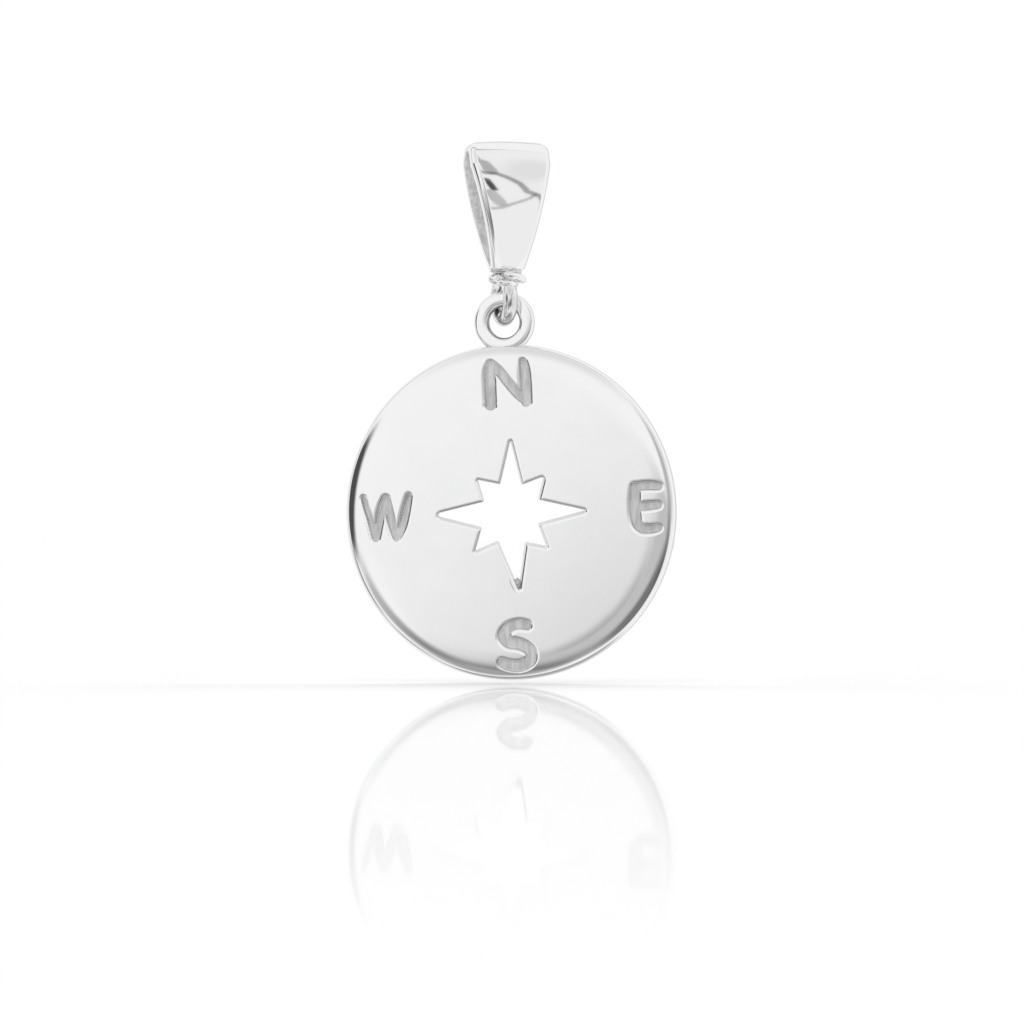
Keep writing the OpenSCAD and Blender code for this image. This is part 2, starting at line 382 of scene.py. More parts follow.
def in_order(field, p, least=1e-3):
    """A ring of points with those that fall behind the one before them laid onto it."""
    g = slope_of(field, p)[1]
    ahead = np.column_stack([-g[:, 1], g[:, 0]]) / np.linalg.norm(g, axis=1)[:, None]
    p = p.copy()
    for k in range(1, len(p)):
        if (p[k] - p[k - 1]) @ ahead[k] < least:
            p[k] = p[k - 1]
    return p


OUTWARD_STEP = 0.008
INWARD_STEP = 0.02


def walls(field, line, profile, share):
    """A profile carried along a line: rings of points, each on its own level of the field. The profile's
    rows are level and depth, levels outside the line are multiplied by each point's share, and the answer
    is across, up and depth, line by profile."""
    found = {}
    for sign in (1, -1):
        p, last = line, 0.0
        order = [k for k, row in enumerate(profile) if row[0] * sign > 0 or (row[0] == 0 and sign > 0)]
        for k in sorted(order, key=lambda k: abs(profile[k][0])):
            level = profile[k][0]
            steps = max(1, int(abs(level - last) / (OUTWARD_STEP if sign > 0 else INWARD_STEP) + 0.99))
            for s in range(steps):
                reach = last + (level - last) * (s + 1) / steps
                p = moved_to(field, p, reach * share if sign > 0 else reach, 2)
            last = level
            found[k] = in_order(field, p)
    return np.stack([np.column_stack([found[k], np.full(len(line), depth)])
                     for k, (_, depth) in enumerate(profile)], 1)


def filled(loops, dots=None):
    """Triangles over the plane inside the first closed loop and outside the others. Dots are further
    points that the triangles meet."""
    flat, faces, n = [], [], 0
    for loop in loops:
        onward = np.roll(loop, -1, 0)
        if (loop[:, 0] * onward[:, 1] - onward[:, 0] * loop[:, 1]).sum() < 0:
            loop = loop[::-1]
        flat.append(loop)
        faces.append(list(range(n, n + len(loop))))
        n += len(loop)
    if dots is not None:
        flat.append(dots)
    flat = [Vector((float(x), float(y))) for x, y in np.vstack(flat)]
    made = delaunay_2d_cdt(flat, [], faces, 1, 1e-6)
    points = np.array([(v.x, v.y) for v in made[0]])
    inside = [list(f) for f, source in zip(made[2], made[5]) if set(source) == {0}]
    return points, inside


def ring_of(radius, count):
    """A circle of points about 0."""
    a = angles(count)
    return np.column_stack([radius * np.cos(a), radius * np.sin(a)])


# The plate

SOFT_POWER = 4
SOFT_SLOPE = atan(SOFT_POWER * SOFT_DROP / SOFT_W)
SOFT_END = PLATE_R - RIM_R * (1 - sin(SOFT_SLOPE))
SOFT_START = SOFT_END - SOFT_W
TURNS = 448
RIM_CLEAR = 0.03

# Gaps between the free points of the face, in mm: on a letter's floor, on the soft rim, round the cuts
FLOOR_GAP = 0.07
RIM_GAP = 0.055
WORN_GAP = 0.037

# How near the back or the face a point of the mesh counts as on it, in mm
ON_BACK = 1e-4
ON_FACE = 3e-4


def face_height(r):
    """Height of the plate's face at a radius: flat, then worn down by a power of the way outward."""
    return PLATE_T / 2 - SOFT_DROP * (np.clip(r - SOFT_START, 0, SOFT_W) / SOFT_W) ** SOFT_POWER


SHOULDER = 0.13
WORN_SLOPE = 0.32
LIP_R = 0.014
LIP_EDGE = LIP_R * (1 - sin(atan(WORN_SLOPE)))
CUT_MARGIN = 0.012
CUT_FADE = 0.1
WALL_SHARES = (0.35, 0.7, 1.0)
FOOT_STEPS = 5
FLOOR_ROWS = 2


def shoulder(level):
    """Depth of the face at a distance from a cut, where the polishing has worn it down: a parabola, which
    runs on a little past the cut's edge."""
    t = np.clip((LIP_EDGE + SHOULDER - level) / SHOULDER, 0, 1.2)
    return WORN_SLOPE * SHOULDER * t * t / 2


def face_with_cuts(p, cuts):
    """Height of the face at points across and up: soft towards the rim, and worn round each cut. Cuts are
    rows of middle, reach and field."""
    r = np.hypot(*p.T)
    z = face_height(r)
    for middle, reach, field in cuts:
        near = np.hypot(*(p - middle).T) < reach
        z[near] -= shoulder(field(p[near])) * np.clip((SOFT_END - r[near]) / CUT_FADE, 0, 1)
    return z


def face_normals(places, there, cuts, step=1e-3):
    """The normals of the mesh, but exact ones on the polished face, from the slope of its height, and on
    the flat back."""
    there[np.abs(places[:, 1] / MM - PLATE_T / 2) < ON_BACK] = (0, 1, 0)
    x, z = places[:, 0] / MM + EYE_ASIDE, places[:, 2] / MM - HANG_Z
    p = np.column_stack([x * cos(PLATE_LEAN) + z * sin(PLATE_LEAN),
                         z * cos(PLATE_LEAN) - x * sin(PLATE_LEAN) + EYE_R + EYE_REACH])
    front = np.flatnonzero((np.abs(-places[:, 1] / MM - face_with_cuts(p, cuts)) < ON_FACE)
                           & (np.hypot(*p.T) < SOFT_END - 0.01))
    p = p[front]
    across = (face_with_cuts(p + [step, 0], cuts) - face_with_cuts(p - [step, 0], cuts)) / (2 * step)
    up = (face_with_cuts(p + [0, step], cuts) - face_with_cuts(p - [0, step], cuts)) / (2 * step)
    exact = np.column_stack([up * sin(PLATE_LEAN) - across * cos(PLATE_LEAN), -np.ones(len(p)),
                             -across * sin(PLATE_LEAN) - up * cos(PLATE_LEAN)])
    there[front] = exact / np.linalg.norm(exact, axis=1)[:, None]
    return there


def lip_rows(end):
    """Rows of level and depth where a cut starts: the worn face, then an arc down to the angle end."""
    start = atan(WORN_SLOPE)
    low = shoulder(LIP_EDGE) - LIP_R * (1 - cos(start))
    rows = [(LIP_EDGE + CUT_MARGIN, shoulder(LIP_EDGE + CUT_MARGIN))]
    return rows + [(LIP_R * (1 - sin(t)), low + LIP_R * (1 - cos(t))) for t in np.linspace(start, end, 9)]


def cut_profile(draft, fillet, depth):
    """Rows of level and depth across a letter's edge: lip, leaning wall, round foot, floor."""
    lean = pi / 2 - draft
    rows = lip_rows(lean)
    top, low = rows[-1], depth - fillet * (1 - cos(lean))
    reach = top[0] - (low - top[1]) * tan(draft)
    rows += [(top[0] + (reach - top[0]) * t, top[1] + (low - top[1]) * t) for t in WALL_SHARES]
    centre = reach - fillet * sin(lean)
    rows += [(centre + fillet * sin(t), depth - fillet + fillet * cos(t))
             for t in np.linspace(lean, 0, FOOT_STEPS + 1)[1:]]
    return rows + [(centre - CUT_MARGIN, depth)]


def line_field(line):
    """Distance from a closed line."""
    a, along = line, np.roll(line, -1, 0) - line
    length2 = (along ** 2).sum(1)

    def field(p):
        away = p[:, None, :] - a
        t = np.clip((away * along).sum(2) / length2, 0, 1)
        return np.linalg.norm(away - t[..., None] * along, axis=2).min(1)
    return field


def dots_near(middle, reach, field, low, high, gap):
    """Points of a square grid where a field lies between two levels."""
    steps = np.arange(-reach, reach, gap)
    x, y = np.meshgrid(steps, steps)
    dots = np.column_stack([x.ravel(), y.ravel()]) + middle
    level = field(dots)
    return dots[(level > low) & (level < high)]


def plate_piece(finishes):
    """The plate: a face cut by four letters, a rim turned from a rounded profile, a plain back, and the
    walls of the star carried through from face to back along the saw's lean."""
    piece = Piece()
    profile = cut_profile(LETTER_DRAFT, LETTER_FILLET, LETTER_DEPTH)
    floor = PLATE_T / 2 - LETTER_DEPTH
    cuts, letters = [], []
    for name in LETTERS:
        rows = letter_segments(name)
        field = letter_field(rows)
        line = walked(field, rows[0, 0:2] + [0, rows[0, 2] * 0.9])
        share = np.clip((SOFT_END - RIM_CLEAR - np.hypot(*line.T)) / profile[0][0], 0.3, 1)
        letters.append((field, walls(field, line, profile, share)))
        middle = line.mean(0)
        cuts.append((middle, np.hypot(*(line - middle).T).max() + 0.2, field))
    sharp_star = star_ring(0, arc_steps=4, gap=9) + [CUT_ASIDE, 0]
    cuts.append((np.array([CUT_ASIDE, 0]), LONG_REACH + 0.3, line_field(sharp_star)))

    loops = []
    floor_row = len(profile) - 1 - FLOOR_ROWS
    top_of_wall = len(profile) - 2 - FOOT_STEPS - len(WALL_SHARES)
    for (field, wall), (middle, reach, _) in zip(letters, cuts):
        top = face_height(np.hypot(wall[..., 0], wall[..., 1]))
        depth = wall[..., 2]
        points = np.dstack([wall[..., 0], wall[..., 1],
                            top - depth + (LETTER_DEPTH - top + floor) * (depth / LETTER_DEPTH) ** 2])
        points[:, 0, 2] = face_with_cuts(points[:, 0, :2], cuts)
        piece.grid(hung(points[:, :top_of_wall + 1]), wrap_rows=True)
        piece.grid(hung(points[:, top_of_wall:floor_row + 1]), wrap_rows=True, finish=2)
        piece.grid(hung(points[:, floor_row:]), wrap_rows=True, finish=1)
        dots = dots_near(middle, reach, field, -9, profile[-1][0] - 0.03, FLOOR_GAP)
        flat, inside = filled([points[:, -1, :2]], dots)
        piece.add(hung(np.column_stack([flat, np.full(len(flat), floor)])), inside, 1)
        loops.append(points[:, 0, :2])

    front = lip_rows(pi / 2)
    back = [(level * 0.4 - SAW_IN, PLATE_T - depth * 0.4) for level, depth in front[:0:-1]]
    sawn = [(-SAW_IN * t, 0.1 + (PLATE_T - 0.18) * t) for t in np.linspace(0, 1, 7)]
    rings = []
    for level, depth in front + sawn + back:
        ring = star_ring(level) + [CUT_ASIDE - depth * tan(SAW_LEAN), depth * tan(SAW_RISE)]
        rings.append(np.column_stack([ring, np.full(len(ring), PLATE_T / 2 - depth)]))
    wall = np.stack(rings, 1)
    wall[:, -1, 2] = -PLATE_T / 2
    wall[:, 0, 2] = face_with_cuts(wall[:, 0, :2], cuts)
    first, last = len(front) - 1, len(front) + len(sawn)
    piece.grid(hung(wall[:, :first + 1]), wrap_rows=True)
    piece.grid(hung(wall[:, first:last + 1]), wrap_rows=True, finish=3)
    piece.grid(hung(wall[:, last:]), wrap_rows=True)

    outer = ring_of(SOFT_END, TURNS)
    clear = np.vstack([ring_of(r, TURNS) for r in np.arange(SOFT_START - 0.1, SOFT_END - RIM_CLEAR, RIM_GAP)])
    for field, _ in letters:
        clear = clear[field(clear) > 0.2]
    worn = [dots_near(*where, LIP_EDGE + 0.03, LIP_EDGE + SHOULDER + 0.04, WORN_GAP) for where in cuts]
    worn[-1] = worn[-1][np.hypot(*(worn[-1] - [CUT_ASIDE, 0]).T) > 1.3]
    dots = np.vstack([clear] + worn)
    dots = dots[np.hypot(*dots.T) < SOFT_END - 0.02]
    hole = wall[:, 0, :2]
    flat, inside = filled([outer] + loops + [hole], dots)
    piece.add(hung(np.column_stack([flat, face_with_cuts(flat, cuts)])), inside)

    soft = [(r, float(face_height(r))) for r in np.linspace(SOFT_START, SOFT_END, 26)]
    corner_z = soft[-1][1] - RIM_R * cos(SOFT_SLOPE)
    turn = np.linspace(pi / 2 - SOFT_SLOPE, 0, 15)
    corner = [(PLATE_R - RIM_R + RIM_R * cos(t), corner_z + RIM_R * sin(t)) for t in turn]
    side = [(PLATE_R, corner_z * t) for t in (0.5, 0, -0.5)]
    outline = corner + side + [(r, -z) for r, z in corner[::-1]] + [(r, -z) for r, z in soft[-2::-2]]
    a = angles(TURNS)
    r, z = np.array(outline).T
    points = np.stack([np.cos(a)[:, None] * r, np.sin(a)[:, None] * r, np.broadcast_to(z, (TURNS, len(z)))],
                      -1)
    piece.grid(hung(points), wrap_rows=True)

    back, inside = filled([ring_of(SOFT_START, TURNS), wall[:, -1, :2]])
    piece.add(hung(np.column_stack([back, np.full(len(back), -PLATE_T / 2)])), inside)
    return piece.made("plate", finishes, "disc", "compass_disc", "plate_silver", weld=PLATE_WELD,
                      normals=lambda places, there: face_normals(places, there, cuts))


def rounded_rect(w, t, radius, steps=6):
    """Closed profile of a rounded rectangle, w by t, about 0."""
    rows = []
    for cx, cy, start in ((1, 1, 0), (-1, 1, 90), (-1, -1, 180), (1, -1, 270)):
        for k in range(steps + 1):
            a = radians(start + 90 * k / steps)
            rows.append((cx * (w / 2 - radius) + radius * cos(a), cy * (t / 2 - radius) + radius * sin(a)))
    return np.array(rows)


def eye_piece(finishes):
    """The eye ring: a rounded flat profile turned about the ring's middle, not polished inside, where its dark
    colour is painted shade.
    """
    piece = Piece()
    section = rounded_rect(EYE_W, EYE_T, EYE_ROUND)
    inside = np.flatnonzero(section[:, 0] < EYE_ROUND * 0.6 - EYE_W / 2)
    first, last = inside.min(), inside.max()
    a = angles(EYE_TURNS)
    r = EYE_R + section[:, 0]
    points = np.stack([np.cos(a)[:, None] * r, EYE_REACH + np.sin(a)[:, None] * r,
                       np.broadcast_to(section[:, 1], (len(a), len(r)))], -1)
    piece.grid(hung(points[:, first:last + 1]), wrap_rows=True, finish=1)
    piece.grid(hung(np.concatenate([points[:, last:], points[:, :first + 1]], 1)), wrap_rows=True)
    return piece.made("eye_ring", finishes, "disc", "compass_disc", "plate_silver")


def lump_points(middle, size, swell=0.09, rows=40, columns=56):
    """A lump of solder: middle + size * (cos v cos u, cos v sin u, sin v) * (1 + swell * w(u, v)), where w is
    a sum of three waves round it that die away at both poles."""
    v = np.linspace(-pi / 2, pi / 2, rows)[:, None]
    u = angles(columns)[None, :]
    w = (np.sin(5 * u + 7 * v) + np.sin(9 * u - 5 * v + 1) + np.sin(3 * u + 13 * v + 2)) * np.cos(v) ** 2
    ball = np.stack(np.broadcast_arrays(np.cos(v) * np.cos(u), np.cos(v) * np.sin(u), np.sin(v)), -1)
    return np.asarray(middle) + np.asarray(size) * ball * (1 + swell * w[..., None])


def burr_piece(finishes):
    """What the saw left at the star's lower tip: a lump of burr in the slot, and the thin line of a slip
    beside it, a round profile carried along a bent line."""
    piece = Piece()
    piece.grid(hung(lump_points(middle=[0.24, -3.42, 0.27], size=[0.17, 0.25, 0.15])), wrap_columns=True)
    slip_z, slip_r = 0.441, 0.022
    t = np.linspace(0, 1, 24)
    centres = np.column_stack([-0.12 + 0.3 * t ** 1.4, -3.1 - 0.76 * t, np.full(len(t), slip_z)])
    radii = TIP_R + slip_r * np.sqrt(np.sin(pi * t))
    aside, up = np.tile([1.0, 0.0, 0.0], (len(t), 1)), np.tile([0.0, 0.0, 1.0], (len(t), 1))
    piece.grid(hung(tube(centres, radii, aside, up, 12)), wrap_columns=True)
    return piece.made("burr", finishes, "disc", "compass_disc", "plate_silver", weld=FINE_WELD)


# The bail

SIDE_STEPS, CROWN_STEPS = 90, 41
HALF_CORNER = 2


def strap_half_width(z):
    """Half the strap's width at a height: rounded over the crown, then straight down to the foot."""
    z = np.asarray(z, float)
    share = np.clip((CROWN_Z - TAPER_DROP - z) / (BAIL_H - TAPER_DROP), 0, 1)
    half = CROWN_W / 2 + share * (FOOT_W - CROWN_W) / 2
    over = np.clip((z - (CROWN_Z - CROWN_ROUND)) / CROWN_ROUND, 0, 1)
    return half - CROWN_ROUND * (1 - np.sqrt(1 - over ** 2))


def strap_line():
    """The strap's outer face seen from the side, front foot to back foot: back, up, and the outward
    direction."""
    low = asin(-FOOT_DROP / SIDE_R)
    join = atan2(CROWN_Z - CROWN_R - BELLY_Z, SIDE_IN)
    rows = []
    for t in np.linspace(low, join, SIDE_STEPS):
        rows.append((SIDE_IN - SIDE_R * cos(t), BELLY_Z + SIDE_R * sin(t), -cos(t), sin(t)))
    for t in np.linspace(pi - join, join, CROWN_STEPS)[1:-1]:
        rows.append((CROWN_R * cos(t), CROWN_Z - CROWN_R + CROWN_R * sin(t), cos(t), sin(t)))
    back = [(-y, z, -ny, nz) for y, z, ny, nz in rows[:SIDE_STEPS]]
    return np.array(rows + back[::-1])


def strap_section(half):
    """Across the strap, as shares: rows of across and depth below the outer face. The outer face is a
    little crowned and its edges are bevelled by polishing."""
    crown, bevel, edge = 0.085, 0.3, 0.05
    outer = [(u * (half - bevel), crown * (u * (half - bevel) / half) ** 2) for u in np.linspace(-1, 1, 33)]
    start = crown * ((half - bevel) / half) ** 2
    slope = atan2(2 * crown * (half - bevel) / half ** 2, 1)
    right = [(half - bevel + bevel * sin(t), start + bevel * (1 - cos(t)))
             for t in np.linspace(slope, pi / 2, 13)[1:]]
    inner = [(half - edge + edge * cos(t), STRAP_T - edge + edge * sin(t)) for t in np.linspace(0, pi / 2, 5)]
    floor = [(u * (half - edge), STRAP_T) for u in np.linspace(1, -1, 17)[1:-1]]
    mirrored = [(-x, d) for x, d in (right + inner)[::-1]]
    return outer + right + inner, floor, mirrored


def strap_piece(finishes):
    """The strap: its section carried along the folded line from the front foot over the crown. The inside's
    finish takes half of each inner corner."""
    piece = Piece()
    line = strap_line()
    rings, cut = [], 0
    for y, z, ny, nz in line:
        half = float(strap_half_width(z))
        polished, floor, mirrored = strap_section(half)
        rows = np.array(polished + floor + mirrored)
        cut = (len(polished) - 1 - HALF_CORNER, len(polished) + len(floor) + HALF_CORNER)
        rings.append(np.column_stack([rows[:, 0], y - ny * rows[:, 1], z - nz * rows[:, 1]]))
    points = np.stack(rings)
    columns = points.shape[1]
    faces = grid_faces(len(line), columns, False, True)
    j = faces[:, 0] % columns
    inside = (j >= cut[0]) & (j < cut[1])
    piece.add(turned(points), faces[~inside], 0)
    piece.add(turned(points), faces[inside], 1)
    for ring in (points[0], points[-1]):
        middle = ring.mean(0)
        fan = [[k, (k + 1) % columns, columns] for k in range(columns)]
        piece.add(turned(np.vstack([ring, middle])), fan, 0)
    return piece.made("strap", finishes, "bail", "bail", "bail_silver")


def tube(centres, radii, aside, up, turns=32):
    """A round profile carried along a line of centres, closed to a point at both ends. aside and up are the
    directions across the line."""
    a = angles(turns)
    return (centres[:, None, :] + (np.cos(a)[None, :, None] * aside[:, None, :]
                                   + np.sin(a)[None, :, None] * up[:, None, :]) * radii[:, None, None])


def solder_piece(name, finishes, middle, size, swell=0.09):
    """Solder on the bail: one lump, in the bail's own frame."""
    piece = Piece()
    piece.grid(turned(lump_points(middle, size, swell)), wrap_columns=True)
    return piece.made(name, finishes, "bail", "bail", "bail_silver", weld=FINE_WELD)


def bead_piece(name, finishes, y, d, z, x=0.0, tilt=0.0, length=COLLAR_W, bow=0.0):
    """A collar bead: a round profile whose radius falls to 0 at both rounded ends, on a line whose ends
    are bowed back by a parabola."""
    piece = Piece()
    run = length / 2 - d / 2
    t = np.concatenate([-run - d / 2 * np.cos(np.linspace(0, pi / 2, 12)),
                        np.linspace(-run, run, 12)[1:-1],
                        run + d / 2 * np.sin(np.linspace(0, pi / 2, 12))])
    over = np.clip(np.abs(t) - run, 0, d / 2)
    radii = np.maximum(np.sqrt(np.maximum((d / 2) ** 2 - over ** 2, 0)), TIP_R)
    share = t / (length / 2)
    centres = np.column_stack([x + t, y + bow * share ** 2, z + tilt * t])
    turn = np.arctan(2 * bow * share / (length / 2))
    aside = np.column_stack([-np.sin(turn), np.cos(turn), np.zeros(len(t))])
    up = np.tile([0.0, 0.0, 1.0], (len(t), 1))
    piece.grid(turned(tube(centres, radii, aside, up)), wrap_columns=True)
    return piece.made(name, finishes, "bail", "bail", "bail_silver", weld=FINE_WELD)


def link_piece(finishes):
    """The link loop: a round wire turned about the bail's own axis across."""
    piece = Piece()
    a, b = angles(LINK_TURNS), angles(WIRE_TURNS)
    r = LINK_R + LINK_THICK / 2 * np.cos(b)
    points = np.stack([np.broadcast_to(LINK_ASIDE + LINK_THICK / 2 * np.sin(b), (len(a), len(b))),
                       np.cos(a)[:, None] * r, LINK_Z + np.sin(a)[:, None] * r], -1)
    piece.grid(turned(points), wrap_rows=True, wrap_columns=True)
    return piece.made("link_loop", finishes, "bail", "bail", "bail_silver")


# Finishes

class Nodes:
    """Short calls for building a node tree."""

    def __init__(self, tree):
        self.tree = tree
        tree.nodes.clear()

    def node(self, kind, **settings):
        """A new node with its settings."""
        n = self.tree.nodes.new(kind)
        for k, v in settings.items():
            setattr(n, k, v)
        return n

    def put(self, socket, value):
        """A link or a plain value into a socket."""
        if isinstance(value, bpy.types.NodeSocket):
            self.tree.links.new(value, socket)
        else:
            socket.default_value = value

    def math(self, operation, *values):
        """A calculation with numbers."""
        n = self.node("ShaderNodeMath", operation=operation)
        for socket, value in zip(n.inputs, values):
            self.put(socket, value)
        return n.outputs[0]

    def vector(self, operation, *values):
        """A calculation with vectors: a number for dot product and length, else a vector."""
        n = self.node("ShaderNodeVectorMath", operation=operation)
        for socket, value in zip(n.inputs, values):
            self.put(socket, value)
        return n.outputs["Value" if operation in ("DOT_PRODUCT", "LENGTH") else "Vector"]

    def ramp(self, value, low, high, to_low=0.0, to_high=1.0, smooth=True):
        """A value carried from one range to another and held at its ends."""
        n = self.node("ShaderNodeMapRange", interpolation_type="SMOOTHSTEP" if smooth else "LINEAR")
        for k, v in enumerate((value, low, high, to_low, to_high)):
            self.put(n.inputs[k], v)
        return n.outputs[0]

    def grey(self, value):
        """A colour of three equal values."""
        n = self.node("ShaderNodeCombineColor")
        for k in range(3):
            self.put(n.inputs[k], value)
        return n.outputs[0]

    def mixed(self, share, a, b):
        """A colour between two."""
        n = self.node("ShaderNodeMix", data_type="RGBA")
        self.put(n.inputs[0], share)
        self.put(n.inputs[6], a)
        self.put(n.inputs[7], b)
        return n.outputs[2]

    def noise(self, scale, detail=2.0, stretch=None):
        """Noise in the piece's own place, stretched if asked."""
        place = self.node("ShaderNodeTexCoord").outputs["Object"]
        if stretch:
            m = self.node("ShaderNodeMapping")
            self.put(m.inputs["Vector"], place)
            m.inputs["Scale"].default_value = stretch
            place = m.outputs[0]
        n = self.node("ShaderNodeTexNoise")
        self.put(n.inputs["Vector"], place)
        n.inputs["Scale"].default_value = scale
        n.inputs["Detail"].default_value = detail
        return n.outputs[0]

    def bump(self, height, strength, distance):
        """A normal bent by a height."""
        n = self.node("ShaderNodeBump")
        n.inputs["Strength"].default_value = strength
        n.inputs["Distance"].default_value = distance
        self.put(n.inputs["Height"], height)
        return n.outputs[0]


def material(name):
    """A new material, and the calls that build its nodes."""
    m = bpy.data.materials.new(name)
    m.use_nodes = True
    return m, Nodes(m.node_tree)


def polished_silver():
    """Silver polished on a buff: nearly white, with faint wiping marks."""
    m, t = material("polished_silver")
    shader = t.node("ShaderNodeBsdfPrincipled")
    cloud = t.noise(260.0, 3.0)
    t.put(shader.inputs["Base Color"], t.mixed(cloud, (0.885, 0.885, 0.888, 1), (0.925, 0.925, 0.927, 1)))
    shader.inputs["Metallic"].default_value = 1.0
    t.put(shader.inputs["Roughness"], t.ramp(t.noise(900.0, 2.0), 0.3, 0.7, 0.045, 0.075))
    t.put(shader.inputs["Normal"], t.bump(t.noise(5000.0, 2.0), 0.02, 0.00001))
    t.put(t.node("ShaderNodeOutputMaterial").inputs[0], shader.outputs[0])
    return m


def dull_silver(name, dark, light, rough, bump, scale, stretch=None, metal=1.0):
    """Silver left as worked: a grain or strokes of a tool, in colour, roughness and height."""
    m, t = material(name)
    shader = t.node("ShaderNodeBsdfPrincipled")
    marks = t.noise(scale, 3.0, stretch)
    share = t.ramp(marks, 0.3, 0.7)
    t.put(shader.inputs["Base Color"], t.mixed(share, (dark, dark, dark * 1.005, 1), (light, light, light, 1)))
    shader.inputs["Metallic"].default_value = metal
    t.put(shader.inputs["Roughness"], t.ramp(marks, 0.3, 0.7, rough[0], rough[1]))
    t.put(shader.inputs["Normal"], t.bump(marks, *bump))
    t.put(t.node("ShaderNodeOutputMaterial").inputs[0], shader.outputs[0])
    return m


def white_gloss():
    """The floor: dull white, and a weak mirror in a strip under the pendant and before it. The mirror's
    share is a straight line of 1 / distance from the place the photo was taken from, which doesn't move."""
    m, t = material("white_gloss")
    place = t.node("ShaderNodeSeparateXYZ")
    t.put(place.inputs[0], t.node("ShaderNodeTexCoord").outputs["Object"])
    x, y, _ = place.outputs
    from_x, from_y = t.math("SUBTRACT", x, PHOTO_FROM.x), t.math("SUBTRACT", y, PHOTO_FROM.y)
    ahead = t.math("ADD", t.math("MULTIPLY", from_x, -CAMERA_BACK.x),
                   t.math("MULTIPLY", from_y, -CAMERA_BACK.y))
    near = t.math("DIVIDE", 1.0, t.math("MAXIMUM", ahead, 0.05))
    beside = t.math("ABSOLUTE", t.math("ADD", t.math("MULTIPLY", from_x, CAMERA_BACK.y),
                                       t.math("MULTIPLY", from_y, -CAMERA_BACK.x)))
    around = t.math("MULTIPLY", t.ramp(beside, *STRIP_SIDE, 1.0, 0.0), t.ramp(ahead, *STRIP_END, 1.0, 0.0))
    white = t.node("ShaderNodeBsdfDiffuse")
    t.put(white.inputs["Color"], t.mixed(t.noise(30.0), (0.97, 0.97, 0.97, 1), (0.99, 0.99, 0.99, 1)))
    gloss = t.node("ShaderNodeBsdfGlossy")
    gloss.inputs["Roughness"].default_value = 0.02
    gloss.inputs["Color"].default_value = (1, 1, 1, 1)
    mix = t.node("ShaderNodeMixShader")
    share = t.ramp(near, 1 / MIRROR_FAR, 1 / MIRROR_NEAR, MIRROR, 0.0, smooth=False)
    t.put(mix.inputs[0], t.math("MULTIPLY", around, share))
    t.put(mix.inputs[1], white.outputs[0])
    t.put(mix.inputs[2], gloss.outputs[0])
    t.put(t.node("ShaderNodeOutputMaterial").inputs[0], mix.outputs[0])
    return m


# Studio

CAMERA_TURN = radians(10.5)
CAMERA_AWAY = 0.4
CAMERA_BACK = Vector((sin(CAMERA_TURN), -cos(CAMERA_TURN), 0))
CAMERA_AIM = Vector(hung(np.array([0.048, 0.01, 0.0])).tolist())
CAMERA_LENS = 295.0
PHOTO_FROM = CAMERA_AIM + CAMERA_BACK * CAMERA_AWAY

# The floor: its drop below the plate and, in metres from the place of the photo, where it starts and
# stops to mirror and how the strip that mirrors fades at its sides and behind the pendant
FLOOR_DROP = 0.00016
MIRROR = 0.37
MIRROR_FAR, MIRROR_NEAR = 0.41, 0.15
STRIP_SIDE = (0.010, 0.018)
STRIP_END = (0.415, 0.45)

# Lamps: bearings, height and width in degrees, strength
LAMPS_BEHIND = (-78, -52, -26, 0, 26, 52, 78)
LAMPS_BEFORE = (120, 150, 180, 210, 240)
LAMP_HEIGHT, LAMP_WIDTH = 40, 36
BEHIND_ENERGY, BEFORE_ENERGY = 0.35, 0.22


